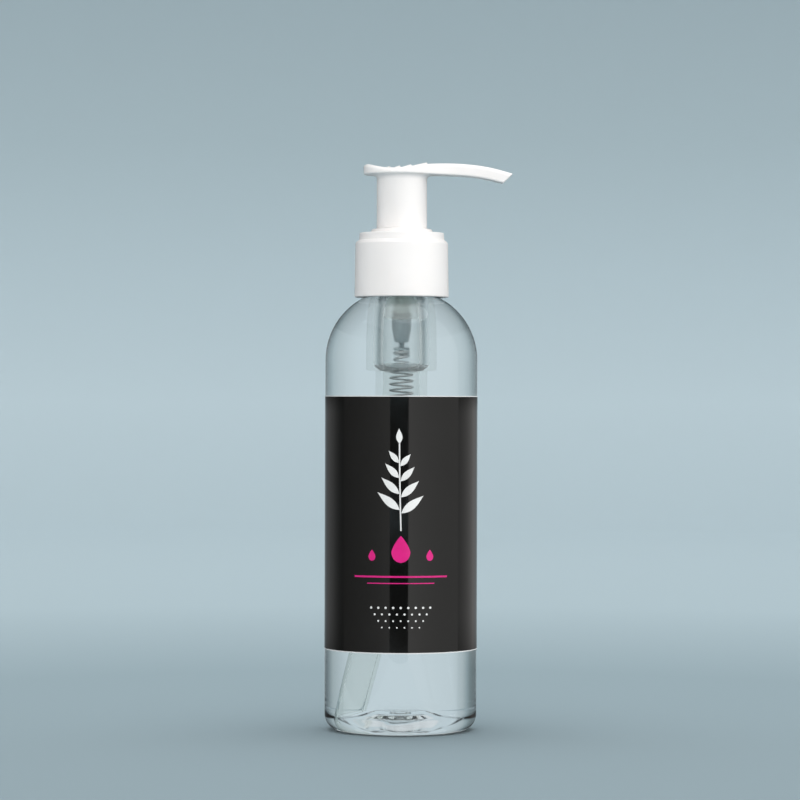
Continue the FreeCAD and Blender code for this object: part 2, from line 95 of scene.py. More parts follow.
def arc3(p, q, s, n):
    """Points on the arc from p through q to s."""
    ax, ay, bx, by, cx, cy = *p, *q, *s
    d = 2 * (ax * (by - cy) + bx * (cy - ay) + cx * (ay - by))
    ux = ((ax * ax + ay * ay) * (by - cy) + (bx * bx + by * by) * (cy - ay) + (cx * cx + cy * cy) * (ay - by)) / d
    uy = ((ax * ax + ay * ay) * (cx - bx) + (bx * bx + by * by) * (ax - cx) + (cx * cx + cy * cy) * (bx - ax)) / d
    r = math.hypot(ax - ux, ay - uy)
    a0, a1, a2 = (math.atan2(y - uy, x - ux) for x, y in (p, q, s))
    turn = (a2 - a0) % TAU
    if not (a1 - a0) % TAU < turn:
        turn -= TAU
    return [(ux + r * math.cos(a0 + turn * i / n), uy + r * math.sin(a0 + turn * i / n)) for i in range(n + 1)]


def soft(points, n=4):
    """Rounds the corners of an open path. A point is (r, z) or (r, z, rounding)."""
    out = [tuple(points[0][:2])]
    for before, at, after in zip(points, points[1:], points[2:]):
        if len(at) < 3:
            out.append(tuple(at[:2]))
            continue
        p = Vector(at[:2])
        a, b = Vector(before[:2]) - p, Vector(after[:2]) - p
        la, lb = a.length, b.length
        a.normalize(), b.normalize()
        half = math.acos(max(-1, min(1, a.dot(b)))) / 2
        if half > 1.55:
            out.append(tuple(p))
            continue
        cut = min(at[2] / math.tan(half), la * 0.48, lb * 0.48)
        s, e = p + a * cut, p + b * cut
        for i in range(n + 1):
            t = i / n
            q = (1 - t) ** 2 * s + 2 * t * (1 - t) * p + t * t * e
            out.append((q.x, q.y))
    out.append(tuple(points[-1][:2]))
    return out


def close_up(path, step):
    """The path with points added so that no piece of it is longer than step."""
    out = [path[0]]
    for a, b in zip(path, path[1:]):
        n = max(1, math.ceil(math.dist(a, b) / step))
        out += [(a[0] + (b[0] - a[0]) * i / n, a[1] + (b[1] - a[1]) * i / n) for i in range(1, n + 1)]
    return out


def mesh_object(name, verts, faces, mats, slots=None, sharp=34.0):
    me = bpy.data.meshes.new(name)
    me.from_pydata([tuple(c * MM for c in v) for v in verts], [], faces)
    me.validate()
    for m in mats:
        me.materials.append(m)
    if slots is not None:
        me.polygons.foreach_set("material_index", np.array(slots, np.int32))
    bm = bmesh.new()
    bm.from_mesh(me)
    bmesh.ops.remove_doubles(bm, verts=bm.verts, dist=1e-7)
    bmesh.ops.recalc_face_normals(bm, faces=bm.faces)
    bm.to_mesh(me)
    bm.free()
    me.polygons.foreach_set("use_smooth", np.ones(len(me.polygons), bool))
    me.set_sharp_from_angle(angle=math.radians(sharp))
    o = bpy.data.objects.new(name, me)
    scene.collection.objects.link(o)
    return o


def lathe(name, path, mats, n=160, closed=True, slot_of=None, shift=None, sharp=34.0):
    """Turns a path of (r, z) about Z. closed joins its end to its start; otherwise its
    ends are on the axis or left open. shift(r, z, angle, index) may move a point to another radius."""
    rows = len(path)
    verts, index = [], []
    for i, (r, z) in enumerate(path):
        if r < 1e-6:
            index.append([len(verts)] * n)
            verts.append((0.0, 0.0, z))
            continue
        row = []
        for k in range(n):
            a = TAU * k / n
            rr = shift(r, z, a, i) if shift else r
            row.append(len(verts))
            verts.append((rr * math.cos(a), rr * math.sin(a), z))
        index.append(row)
    faces, slots = [], []
    for i in range(rows if closed else rows - 1):
        j = (i + 1) % rows
        s = slot_of(path[i], path[j], i) if slot_of else 0
        for k in range(n):
            q = (k + 1) % n
            f = [index[i][k], index[i][q], index[j][q], index[j][k]]
            f = [v for m, v in enumerate(f) if v != f[m - 1]]
            if len(f) > 2:
                faces.append(f)
                slots.append(s)
    return mesh_object(name, verts, faces, mats, slots, sharp)


def swept(name, centres, radius, mats, n=14, sharp=40.0, inner=None, ends=None):
    """A round rod or tube along a line of points. ends gives each end's plane normal."""
    c = np.array(centres, float)
    t = np.gradient(c, axis=0)
    t /= np.linalg.norm(t, axis=1)[:, None]
    up = np.array((0.0, 1.0, 0.0))
    loops = []
    for i in range(len(c)):
        side = np.cross(up, t[i])
        if np.linalg.norm(side) < 1e-6:
            side = np.array((1.0, 0, 0))
        side /= np.linalg.norm(side)
        top = np.cross(t[i], side)
        loops.append((c[i], side, top, t[i]))

    def ring_points(loop, r, cut):
        p, side, top, way = loop
        pts = []
        for k in range(n):
            a = TAU * k / n
            q = p + r * (math.cos(a) * side + math.sin(a) * top)
            if cut is not None:
                nrm, at = cut
                q = q + way * (np.dot(at - q, nrm) / np.dot(way, nrm))
            pts.append(tuple(q))
        return pts

    verts, faces, slots = [], [], []
    m = len(loops)
    shells = [radius] + ([inner] if inner else [])
    for r in shells:
        for i, lp in enumerate(loops):
            cut = ends[0] if ends and i == 0 and ends[0] is not None else None
            cut = ends[1] if ends and i == m - 1 and ends[1] is not None else cut
            verts += ring_points(lp, r, cut)
    for s in range(len(shells)):
        base = s * m * n
        for i in range(m - 1):
            for k in range(n):
                q = (k + 1) % n
                faces.append([base + i * n + k, base + i * n + q, base + (i + 1) * n + q, base + (i + 1) * n + k])
                slots.append(min(s, len(mats) - 1))
    if inner:
        for i in (0, m - 1):
            for k in range(n):
                q = (k + 1) % n
                faces.append([i * n + k, i * n + q, m * n + i * n + q, m * n + i * n + k])
    else:
        faces.append(list(range(n)))
        faces.append(list(range((m - 1) * n, m * n)))
    slots += [0] * (len(faces) - len(slots))
    return mesh_object(name, verts, faces, mats, slots, sharp)


# ------------------------------------------------------------------ materials
def material(name):
    m = bpy.data.materials.new(name)
    m.use_nodes = True
    nt = m.node_tree
    return m, nt, nt.nodes["Principled BSDF"]


def put(bsdf, **values):
    for k, v in values.items():
        bsdf.inputs[k.replace("_", " ")].default_value = v


def noise(nt, scale, detail=3.0, rough=0.5, stretch=None):
    co = nt.nodes.new("ShaderNodeTexCoord")
    n = nt.nodes.new("ShaderNodeTexNoise")
    n.inputs["Scale"].default_value = scale
    n.inputs["Detail"].default_value = detail
    n.inputs["Roughness"].default_value = rough
    out = co.outputs["Object"]
    if stretch:
        mp = nt.nodes.new("ShaderNodeMapping")
        mp.inputs["Scale"].default_value = stretch
        nt.links.new(out, mp.inputs["Vector"])
        out = mp.outputs["Vector"]
    nt.links.new(out, n.inputs["Vector"])
    return n.outputs["Fac"]


def ramp(nt, fac, stops):
    r = nt.nodes.new("ShaderNodeValToRGB")
    r.color_ramp.elements[0].position, r.color_ramp.elements[0].color = stops[0][0], (*stops[0][1], 1)
    r.color_ramp.elements[1].position, r.color_ramp.elements[1].color = stops[-1][0], (*stops[-1][1], 1)
    for at, c in stops[1:-1]:
        r.color_ramp.elements.new(at).color = (*c, 1)
    nt.links.new(fac, r.inputs["Fac"])
    return r.outputs["Color"]


def spread(nt, fac, low, high, f0=0.3, f1=0.7):
    r = nt.nodes.new("ShaderNodeMapRange")
    r.inputs["From Min"].default_value, r.inputs["From Max"].default_value = f0, f1
    r.inputs["To Min"].default_value, r.inputs["To Max"].default_value = low, high
    nt.links.new(fac, r.inputs["Value"])
    return r.outputs["Result"]


def bump(nt, bsdf, fac, strength, distance):
    b = nt.nodes.new("ShaderNodeBump")
    b.inputs["Strength"].default_value = strength
    b.inputs["Distance"].default_value = distance
    nt.links.new(fac, b.inputs["Height"])
    nt.links.new(b.outputs["Normal"], bsdf.inputs["Normal"])


def white_plastic(name, lo=(0.855, 0.828, 0.817), hi=(0.893, 0.866, 0.855), r0=0.30, r1=0.40):
    m, nt, b = material(name)
    nt.links.new(ramp(nt, noise(nt, 45), [(0.3, lo), (0.7, hi)]), b.inputs["Base Color"])
    nt.links.new(spread(nt, noise(nt, 220), r0, r1), b.inputs["Roughness"])
    bump(nt, b, noise(nt, 2600, 2.0), 0.10, 0.00002)
    put(b, IOR=1.49, Subsurface_Weight=0.12, Subsurface_Radius=(1.0, 0.92, 0.85), Subsurface_Scale=0.0012)
    return m


def clear(name, ior, tint_lo, tint_hi, rough=0.0, ripple=0.0, weight=1.0, scale=55, stretch=None):
    """A see-through surface. ior is that of the inside over that of the outside."""
    m, nt, b = material(name)
    nt.links.new(ramp(nt, noise(nt, scale, 2.0), [(0.3, tint_lo), (0.7, tint_hi)]), b.inputs["Base Color"])
    put(b, IOR=ior, Roughness=rough, Transmission_Weight=weight)
    if ripple:
        bump(nt, b, noise(nt, scale, 1.5, 0.45, stretch), ripple, 0.0004)
    return m


N_PET, N_OIL, N_PP = 1.57, 1.47, 1.495
PET_DRY = clear("pet_outside", N_PET, (0.965, 0.985, 0.99), (0.975, 0.99, 0.995), ripple=0.02, scale=70)
PET_WET = clear("pet_wetted", N_PET / N_OIL, (0.985, 0.993, 0.996), (0.99, 0.997, 0.998), ripple=0.05, scale=45)
OIL_SIDE = clear("oil_body", 1.0, (0.992, 0.996, 0.996), (0.996, 0.998, 0.998))
OIL_TOP = clear("oil_surface", N_OIL, (0.98, 0.99, 0.985), (0.99, 0.995, 0.99))
PP_DRY = clear("natural_plastic_dry", N_PP, (0.982, 0.992, 0.988), (0.99, 0.998, 0.994), rough=0.23, weight=0.985)
PP_THICK = clear("natural_plastic_thick", N_PP, (0.965, 0.982, 0.976), (0.98, 0.993, 0.987), rough=0.72, weight=0.90)
PP_WET = clear("natural_plastic_wet", 1.016, (0.955, 0.97, 0.96), (0.97, 0.98, 0.97), rough=0.05, weight=0.94)
TUBE_MAT = clear("tube_plastic_wet", 1.05, (0.98, 0.985, 0.975), (0.99, 0.993, 0.985), rough=0.02, weight=0.985)
soak = TUBE_MAT.node_tree.nodes.new("ShaderNodeVolumeAbsorption")
soak.inputs["Color"].default_value, soak.inputs["Density"].default_value = (0.76, 0.80, 0.69, 1), 80.0
TUBE_MAT.node_tree.links.new(soak.outputs["Volume"], TUBE_MAT.node_tree.nodes["Material Output"].inputs["Volume"])
LIP_MAT = clear("seal_plastic", 1.06, (0.925, 0.95, 0.925), (0.945, 0.965, 0.945), rough=0.45, weight=0.90)
WHITE = white_plastic("white_plastic")
WHITE_RING = white_plastic("white_plastic_ring", (0.845, 0.818, 0.807), (0.883, 0.856, 0.845), 0.26, 0.36)
WHITE_HEAD = white_plastic("white_plastic_head", (0.858, 0.832, 0.821), (0.896, 0.870, 0.859), 0.30, 0.42)


def label_black():
    m, nt, b = material("label_black")
    nt.links.new(ramp(nt, noise(nt, 60), [(0.3, (0.0034, 0.0034, 0.0031)), (0.7, (0.0048, 0.0048, 0.0044))]), b.inputs["Base Color"])
    nt.links.new(spread(nt, noise(nt, 150), 0.055, 0.09), b.inputs["Roughness"])
    bump(nt, b, noise(nt, 190, 2.0), 0.012, 0.0002)
    put(b, IOR=1.5)
    return m


def ink(name, lo, hi, r0, r1):
    m, nt, b = material(name)
    nt.links.new(ramp(nt, noise(nt, 400), [(0.3, lo), (0.7, hi)]), b.inputs["Base Color"])
    nt.links.new(spread(nt, noise(nt, 600), r0, r1), b.inputs["Roughness"])
    bump(nt, b, noise(nt, 3000, 2.0), 0.05, 0.00001)
    put(b, IOR=1.5)
    return m


def steel():
    m, nt, b = material("steel_wire")
    nt.links.new(ramp(nt, noise(nt, 500), [(0.3, (0.60, 0.61, 0.62)), (0.7, (0.72, 0.73, 0.74))]), b.inputs["Base Color"])
    nt.links.new(spread(nt, noise(nt, 900, stretch=(1, 1, 6)), 0.30, 0.46), b.inputs["Roughness"])
    bump(nt, b, noise(nt, 4000, 2.0), 0.08, 0.00001)
    put(b, Metallic=1.0)
    return m


LABEL_BLACK = label_black()
LABEL_EDGE = ink("label_edge", (0.70, 0.71, 0.71), (0.80, 0.80, 0.80), 0.25, 0.35)
INK_WHITE = ink("ink_white", (0.78, 0.78, 0.77), (0.86, 0.86, 0.85), 0.16, 0.24)
INK_PINK = ink("ink_magenta", (0.66, 0.010, 0.19), (0.74, 0.014, 0.23), 0.16, 0.24)
CORE_MAT = ink("core_plastic", (0.30, 0.37, 0.395), (0.375, 0.445, 0.47), 0.35, 0.5)
STEM_MAT = ink("stem_plastic", (0.87, 0.92, 0.92), (0.91, 0.955, 0.955), 0.3, 0.42)
GASKET_MAT = ink("gasket_foam", (0.55, 0.56, 0.56), (0.70, 0.71, 0.71), 0.7, 0.9)
STEEL = steel()


# ------------------------------------------------------------------ bottle
def thread_height(z, a, z0, low, high, tall):
    """Height of a thread's ridge at height z and angle a; it fades in and out at its ends."""
    best = 0.0
    for k in range(3):
        turn = a / TAU + k
        if turn > TURNS:
            break
        d = abs(z - (z0 + PITCH * turn))
        h = max(0.0, min(1.0, (low - d) / (low - high)))
        h *= min(1.0, turn / 0.07, (TURNS - turn) / 0.07)
        best = max(best, h * tall)
    return best


def shoulder(r, radius):
    return SHOULDER_Z + math.sqrt(radius ** 2 - (r - SHOULDER_C) ** 2)


def angle_at(r, radius):
    return math.degrees(math.acos((r - SHOULDER_C) / radius))


IN_R, IN_SH = BODY_R - WALL, SHOULDER_R - WALL
FLOOR_Z = 6.5


def inside(off):
    """The inside outline from the middle of the floor to the bore."""
    path = [(0.0, FLOOR_Z + off), (2.6, FLOOR_Z + off)]
    path += arc3((5.1, FLOOR_Z + off), (5.6, FLOOR_Z - 0.07 + off), (6.05, FLOOR_Z - 0.29 + off), 6)
    path += arc3((8.0, 5.2 + off), (8.7, 4.92 + off), (9.5, 4.7 + off), 6)
    path += arc3((9.5, 4.7 + off), (14.0, 3.3 + off), (18.2 - 0.3 * off, 1.2 + off), 22)[1:]
    path += arc3((18.2 - 0.3 * off, 1.2 + off), (21.55 - 0.7 * off, 2.5 + 0.7 * off), (IN_R - off, 5.6 + 0.3 * off), 18)[1:]
    path += [(IN_R - off, z) for z in np.linspace(8, SHOULDER_Z - 2, 54)]
    path += arc(SHOULDER_C, SHOULDER_Z, IN_SH - off, 0, angle_at(NECK_BORE_R - off, IN_SH - off), 36)
    return path


root_r = NECK_R + 0.75
root_z = shoulder(root_r, SHOULDER_R)
outside = [(0.0, 4.7)] + soft([(0.6, 4.7), (2.0, 4.7, 0.2), (2.2, 5.2, 0.2), (3.6, 5.2)])
outside += arc3((5.25, 5.2), (5.75, 5.12), (6.2, 4.88), 6)
outside += arc3((7.8, 4.05), (8.5, 3.77), (9.3, 3.55), 6)
outside += arc3((9.3, 3.55), (13.2, 2.1), (16.75, 0.08), 24)[1:]
outside += [(16.9, 0.02), (17.1, 0.0), (17.8, 0.0)]
outside += arc(BODY_R - 4.9, 4.9, 4.9, -90, 0, 22)
outside += [(BODY_R, z) for z in np.linspace(7, SHOULDER_Z - 2, 56)]
outside += arc(SHOULDER_C, SHOULDER_Z, SHOULDER_R, 0, angle_at(root_r, SHOULDER_R), 36)
outside += arc3((root_r, root_z), (NECK_R + 0.22, root_z + 0.2), (NECK_R, root_z + 0.7), 6)[1:]
outside += soft([(NECK_R, 134.9), (NECK_R, 135.2, 0.2), (11.9, 135.7, 0.25), (11.9, 136.7, 0.25), (NECK_R, 137.2, 0.2), (NECK_R, 139.0)])
outside += [(NECK_R, z) for z in np.linspace(139.3, 149.2, 56)]
outside += soft([(NECK_R, 149.4), (NECK_R, 150.0, 0.4), (NECK_BORE_R, 150.0, 0.3), (NECK_BORE_R, 149.0)])
inner_path = inside(0.0)[::-1]
bottle_path = outside + [(NECK_BORE_R, z) for z in np.linspace(148, OIL_LEVEL + 0.0, 14)] + inner_path


def floor_shift(r, z, a):
    """Nor is the floor even round the gate."""
    if 9.6 < r < 17.0 and z < 4.65:
        return r + (0.22 * math.sin(5 * a + 0.6) + 0.10 * math.sin(11 * a)) * math.sin((r - 9.6) / 7.4 * math.pi)
    return r


def bottle_shift(r, z, a, i):
    if i < len(outside):
        if 138.9 < z < 149.5 and abs(r - NECK_R) < 1e-6:
            return r + thread_height(z, a, THREAD_Z0, 1.0, 0.45, THREAD_CREST_R - NECK_R)
        return r
    if r > 12 and 9 < z < 128:   # a blown wall is never quite even inside
        return r + 0.035 * math.sin(3 * a + z * 0.05) * math.sin(z * 0.11 + 1.3) + 0.02 * math.sin(7 * a - z * 0.17)
    return floor_shift(r, z, a)


bottle = lathe(
    "bottle", bottle_path, [PET_DRY, PET_WET], n=224, closed=False, shift=bottle_shift, sharp=50,
    slot_of=lambda p, q, i: 1 if i >= len(outside) - 1 and max(p[1], q[1]) <= OIL_LEVEL + 1e-6 else 0,
)
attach(bottle, "bottle")
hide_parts("bottle_shell")

# the oil's top ends inside the housing's wall, clear of what moves in the pump
oil_path = inside(0.03) + [(NECK_BORE_R - 0.03, OIL_LEVEL - 0.3), (NECK_BORE_R - 0.12, OIL_LEVEL - 0.05), (NECK_BORE_R - 0.5, OIL_LEVEL - 0.2), (8.4, OIL_LEVEL - 0.24), (6.6, OIL_LEVEL - 0.24)]


def oil_shift(r, z, a, i):
    if r > 12 and 9 < z < 128:
        return r + 0.035 * math.sin(3 * a + z * 0.05) * math.sin(z * 0.11 + 1.3) + 0.02 * math.sin(7 * a - z * 0.17)
    return floor_shift(r, z, a)


oil = lathe(
    "oil", oil_path, [OIL_SIDE, OIL_TOP], n=160, closed=False, shift=oil_shift, sharp=50,
    slot_of=lambda p, q, i: 1 if min(p[1], q[1]) > OIL_LEVEL - 0.26 else 0,
)
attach(oil, "bottle")
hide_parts("oil_fill")

# ------------------------------------------------------------------ label and its print
GAP = math.radians(7.0)


def wrapped(name, rows_z, slots_z, mats, n=300):
    """The label: a closed film round the wall, open at the back."""
    verts, faces, slots = [], [], []
    for r in (LABEL_R0, LABEL_R1):
        for z in rows_z:
            for k in range(n + 1):
                a = math.pi / 2 + GAP / 2 + (TAU - GAP) * k / n
                verts.append((r * math.cos(a), r * math.sin(a), z))
    m, w = len(rows_z), n + 1
    at = lambda s, i, k: (s * m + i) * w + k  # noqa: E731
    for s in (0, 1):
        for i in range(m - 1):
            for k in range(n):
                faces.append([at(s, i, k), at(s, i, k + 1), at(s, i + 1, k + 1), at(s, i + 1, k)])
                slots.append(slots_z[i] if s else 2)
    for i in (0, m - 1):
        for k in range(n):
            faces.append([at(0, i, k), at(0, i, k + 1), at(1, i, k + 1), at(1, i, k)])
            slots.append(1)
    for k in (0, n):
        for i in range(m - 1):
            faces.append([at(0, i, k), at(0, i + 1, k), at(1, i + 1, k), at(1, i, k)])
            slots.append(1)
    return mesh_object(name, verts, faces, mats, slots, 30)


LABEL_BACK = ink("label_back", (0.84, 0.875, 0.88), (0.895, 0.925, 0.93), 0.4, 0.55)
rows = [LABEL_Z0, LABEL_Z0 + 0.32] + list(np.linspace(LABEL_Z0 + 4, LABEL_Z1 - 4, 18)) + [LABEL_Z1 - 0.28, LABEL_Z1]
label = wrapped("label", rows, [1] + [0] * (len(rows) - 3) + [1], [LABEL_BLACK, LABEL_EDGE, LABEL_BACK])
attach(label, "bottle")
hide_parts("wrap_label")

PRINT_R0, PRINT_R1 = LABEL_R1 + 0.004, LABEL_R1 + 0.022


def strips(name, shapes, mat):
    """Thin printed shapes on the label. A shape is a list of (left, right) points, each
    (along the label, height), with 0 along the label at the front."""
    verts, faces = [], []
    for shape in shapes:
        base = len(verts)
        cols = 1 + math.ceil(max(math.dist(*pair) for pair in shape) / 0.7)
        for left, right in shape:
            for r in (PRINT_R0, PRINT_R1):
                for k in range(cols + 1):
                    u, v = (left[j] + (right[j] - left[j]) * k / cols for j in (0, 1))
                    a = -math.pi / 2 + u / LABEL_R1
                    verts.append((r * math.cos(a), r * math.sin(a), v))
        m, w = len(shape), cols + 1
        at = lambda i, s, k: base + (2 * i + s) * w + k  # noqa: E731
        for i in range(m - 1):
            for k in range(cols):
                faces.append([at(i, 0, k), at(i, 0, k + 1), at(i + 1, 0, k + 1), at(i + 1, 0, k)])
                faces.append([at(i, 1, k), at(i + 1, 1, k), at(i + 1, 1, k + 1), at(i, 1, k + 1)])
            for k in (0, cols):
                faces.append([at(i, 0, k), at(i + 1, 0, k), at(i + 1, 1, k), at(i, 1, k)])
        for i in (0, m - 1):
            for k in range(cols):
                faces.append([at(i, 0, k), at(i, 1, k), at(i, 1, k + 1), at(i, 0, k + 1)])
    o = mesh_object(name, verts, faces, [mat], None, 30)
    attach(o, "bottle")
    return o


def rule(u0, u1, v, thick, n=28):
    return [((u0 + (u1 - u0) * i / n, v - thick / 2), (u0 + (u1 - u0) * i / n, v + thick / 2)) for i in range(n + 1)]


def dot(u, v, r, n=14):
    out = []
    for i in range(n + 1):
        x = -r * math.cos(math.pi * i / n)
        h = max(math.sqrt(max(r * r - x * x, 0)), 0.02)
        out.append(((u + x, v - h), (u + x, v + h)))
    return out


def leaf(u, v, length, width, lean, n=16):
    """A pointed leaf that starts at (u, v) and leans by an angle from upright."""
    s, c = math.sin(math.radians(lean)), math.cos(math.radians(lean))
    out = []
    for i in range(n + 1):
        t = i / n
        w = max(width / 2 * (math.sin(math.pi * t ** 0.8)) ** 1.1, 0.03)
        x, y = u + s * length * t, v + c * length * t
        out.append(((x - c * w, y + s * w), (x + c * w, y - s * w)))
    return out


def band(points, thick):
    """A line of even thickness through the points."""
    p = np.array(points, float)
    t = np.gradient(p, axis=0)
    t /= np.linalg.norm(t, axis=1)[:, None]
    nrm = np.stack([-t[:, 1], t[:, 0]], 1) * thick / 2
    return [(tuple(a - b), tuple(a + b)) for a, b in zip(p, nrm)]


# a sprig with a drop at its foot, two rules and a small field of dots
stem_line = [(-0.5 * math.sin(t * 1.5), 62.5 + 27.0 * t) for t in np.linspace(0, 1, 24)]
white_shapes = [band(stem_line, 0.42)]
for k, t in enumerate((0.20, 0.38, 0.56, 0.73)):
    u, v = -0.5 * math.sin(t * 1.5), 62.5 + 27.0 * t
    size = 8.6 - 1.3 * k
    white_shapes += [leaf(u + 0.3, v, size, 2.5 - 0.25 * k, 52 - 4 * k), leaf(u - 0.3, v + 1.0, size, 2.5 - 0.25 * k, -52 + 4 * k)]
white_shapes.append(leaf(-0.5 * math.sin(1.5), 89.0, 4.6, 1.9, -2))
for r_i in range(4):
    for c_i in range(9 - r_i):
        white_shapes.append(dot((c_i - (8 - r_i) / 2) * 2.3, 39.2 - 2.0 * r_i, 0.36 - 0.04 * r_i))
strips("label_print_white", white_shapes, INK_WHITE)
pink_shapes = [rule(-15.0, 15.0, 48.6, 0.55), rule(-10.5, 10.5, 46.6, 0.30)]


def solid_drop(u, v, r, tall, n=22):
    out = []
    for i in range(n + 1):
        t = i / n
        y = v + tall * t
        if t < 0.42:
            w = r * math.sqrt(max(1 - ((0.42 - t) / 0.42) ** 2, 0))
        else:
            s = (t - 0.42) / 0.58
            w = r * max(1 - s, 0.0) ** 0.9 * (1 + 0.35 * s)
        w = max(w, 0.03)
        out.append(((u - w, y), (u + w, y)))
    return out


pink_shapes.append(solid_drop(0.0, 52.8, 2.9, 8.2))
pink_shapes += [solid_drop(-9.0, 53.4, 1.15, 3.4), solid_drop(9.0, 53.4, 1.15, 3.4)]
strips("label_print_magenta", pink_shapes, INK_PINK)

# ------------------------------------------------------------------ pump: housing, tube and what moves inside
housing_path = soft([
    (3.5, 70.0), (4.2, 70.0, 0.15), (4.7, 70.8, 0.4), (4.7, 83.8, 0.3), (4.85, 84.8, 0.3), (5.45, 86.4, 0.8), (5.45, 100.0),
    (5.45, CHAMBER_STEP, 0.25), (7.4, CHAMBER_STEP, 0.6), (7.4, 120.0), (7.4, OIL_LEVEL), (8.25, 136.4, 0.2), (9.15, 137.3, 0.3),
    (9.15, 151.0, 0.1), (10.7, 151.0, 0.2), (10.7, 152.5, 0.2), (8.3, 152.5, 0.1), (8.3, 137.25, 0.1), (5.85, 137.25, 0.15), (5.85, 125.0),
])
wet_until = next(i for i, p in enumerate(housing_path) if p[1] >= OIL_LEVEL - 1e-6 and p[0] > 7.0)
dry_from = wet_until
round_from = len(housing_path) + 6
housing_path += arc3((5.85, CHAMBER_STEP + 3.1), (5.29, CHAMBER_STEP + 1.0), (3.85, CHAMBER_STEP), 18)
dry_until = len(housing_path) - 1
housing_path += soft([(3.85, 110.5), (3.85, 100.0), (3.85, 88.0, 0.2), (2.3, 88.0, 0.1), (2.3, 83.8, 0.05), (1.3, 82.8, 0.05), (1.3, 81.0, 0.05), (3.5, 81.0, 0.05), (3.5, 72.0)])
housing = lathe(
    "pump_housing_clear", housing_path, [PP_DRY, PP_WET, PP_THICK], n=160, sharp=40,
    slot_of=lambda p, q, i: 2 if round_from <= i < dry_until else 0 if dry_from <= i < dry_until else 1,
)
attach(housing, "pump_unit")
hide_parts("pump_housing")

seat_oil = lathe("seat_oil", soft([(0.0, 82.95), (1.28, 82.95), (2.26, 83.9), (2.26, 88.0), (0.0, 88.0)]), [OIL_SIDE], n=64, closed=False, sharp=50)
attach(seat_oil, "pump_unit")

# what stands in the bore is pressed out as the core comes down
BORE_OIL_Z0, BORE_OIL_Z1 = 88.06, 110.72
primed_path = soft([(0.0, BORE_OIL_Z0), (3.82, BORE_OIL_Z0), (3.82, 111.0), (3.5, 110.75), (0.0, BORE_OIL_Z1)])
primed = lathe(
    "pump_oil", close_up(primed_path[:-3], 3.0) + primed_path[-3:], [OIL_SIDE, OIL_TOP], n=96, closed=False, sharp=50,
    slot_of=lambda p, q, i: 1 if min(p[1], q[1]) > 110.7 else 0,
)
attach(primed, "pump_unit")
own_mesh(primed)

TUBE_R, TUBE_IN, TUBE_BEND, TUBE_STRAIGHT, LEAN = 3.5, 2.7, 60.0, 70.0, math.radians(10.6)
tube_line = [(0.0, 0.0, z) for z in np.linspace(80.9, TUBE_STRAIGHT + 0.4, 8)]
tube_line += [(-TUBE_BEND * (1 - math.cos(t)), 0.0, TUBE_STRAIGHT - TUBE_BEND * math.sin(t)) for t in np.linspace(0, LEAN, 12)]
bend_x, bend_z = tube_line[-1][0], tube_line[-1][2]
tube_line += [(bend_x - math.tan(LEAN) * (bend_z - z), 0.0, z) for z in np.linspace(bend_z - 2, 8.0, 26)]
tube_line.append((bend_x - math.tan(LEAN) * (bend_z - 5.1), 0.0, 5.1))
slant = math.radians(-20)
cut_normal = np.array((math.sin(slant), 0.0, math.cos(slant)))
tube = swept("dip_tube_clear", tube_line, TUBE_R, [TUBE_MAT], n=56, inner=TUBE_IN, ends=(None, (cut_normal, np.array((-14.3, 0.0, 4.05)))))
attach(tube, "pump_unit")
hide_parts("dip_tube")

retainer_path = soft([
    (7.95, 138.2, 0.1), (7.95, 155.1), (7.95, 155.35, 0.2), (8.75, 155.23), (9.32, 155.0, 0.3), (9.5, 154.5, 0.25), (9.5, 154.1, 0.12), (8.65, 154.1, 0.05), (8.65, 152.52, 0.05),
    (8.22, 152.52, 0.05), (8.22, 137.3, 0.1), (5.5, 137.3, 0.1), (5.5, 136.4, 0.2), (5.1, 136.0, 0.1), (3.68, 136.0, 0.1), (3.68, 143.6, 0.15), (4.3, 143.6, 0.15), (4.6, 143.3, 0.15), (4.6, 138.2, 0.2), (6.0, 138.2),
])
retainer = lathe("retainer", retainer_path, [WHITE_RING, STEM_MAT], n=160, slot_of=lambda p, q, i: 1 if max(p[1], q[1]) < 139 or max(p[0], q[0]) < 4.7 else 0)
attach(retainer, "pump_unit")
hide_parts("retainer_ring")

gasket = lathe("gasket", soft([(9.3, 150.4), (9.3, 150.02, 0.15), (11.1, 150.02, 0.2), (11.1, 150.98, 0.2), (9.3, 150.98, 0.15), (9.3, 150.5)]), [GASKET_MAT], n=128)
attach(gasket, "pump_unit")
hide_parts("neck_gasket")

# collar: plain outside, thread inside
collar_out = soft([
    (12.9, 134.0), (14.37, 134.0, 0.12), (14.62, 134.25, 0.2), (14.36, 150.7, 0.6), (13.74, 151.5, 0.3), (13.24, 151.7, 0.12), (13.12, 153.05, 0.0001),
    (13.12, 154.0, 1.0), (9.1, 154.0, 0.15), (8.9, 153.8, 0.1), (8.9, 152.6, 0.1), (11.65, 152.6, 0.3), (12.35, 151.9, 0.3), (12.35, 149.0),
], n=7)
collar_in = [(COLLAR_IN_R, z) for z in np.linspace(148.6, 138.6, 58)]
collar_path = close_up(collar_out, 4.0) + collar_in + soft([(12.35, 137.0, 0.5), (12.6, 134.3, 0.2), (12.9, 134.0)])[:-1]


def collar_shift(r, z, a, i):
    if abs(r - COLLAR_IN_R) < 1e-6 and 138.5 < z < 148.7:
        return r - thread_height(z, a, THREAD_Z0 - COLLAR_DROP, 0.92, 0.40, COLLAR_IN_R - COLLAR_CREST_R)
    return r


collar = lathe("collar", collar_path, [WHITE], n=200, shift=collar_shift)
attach(collar, "collar")
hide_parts("screw_collar")

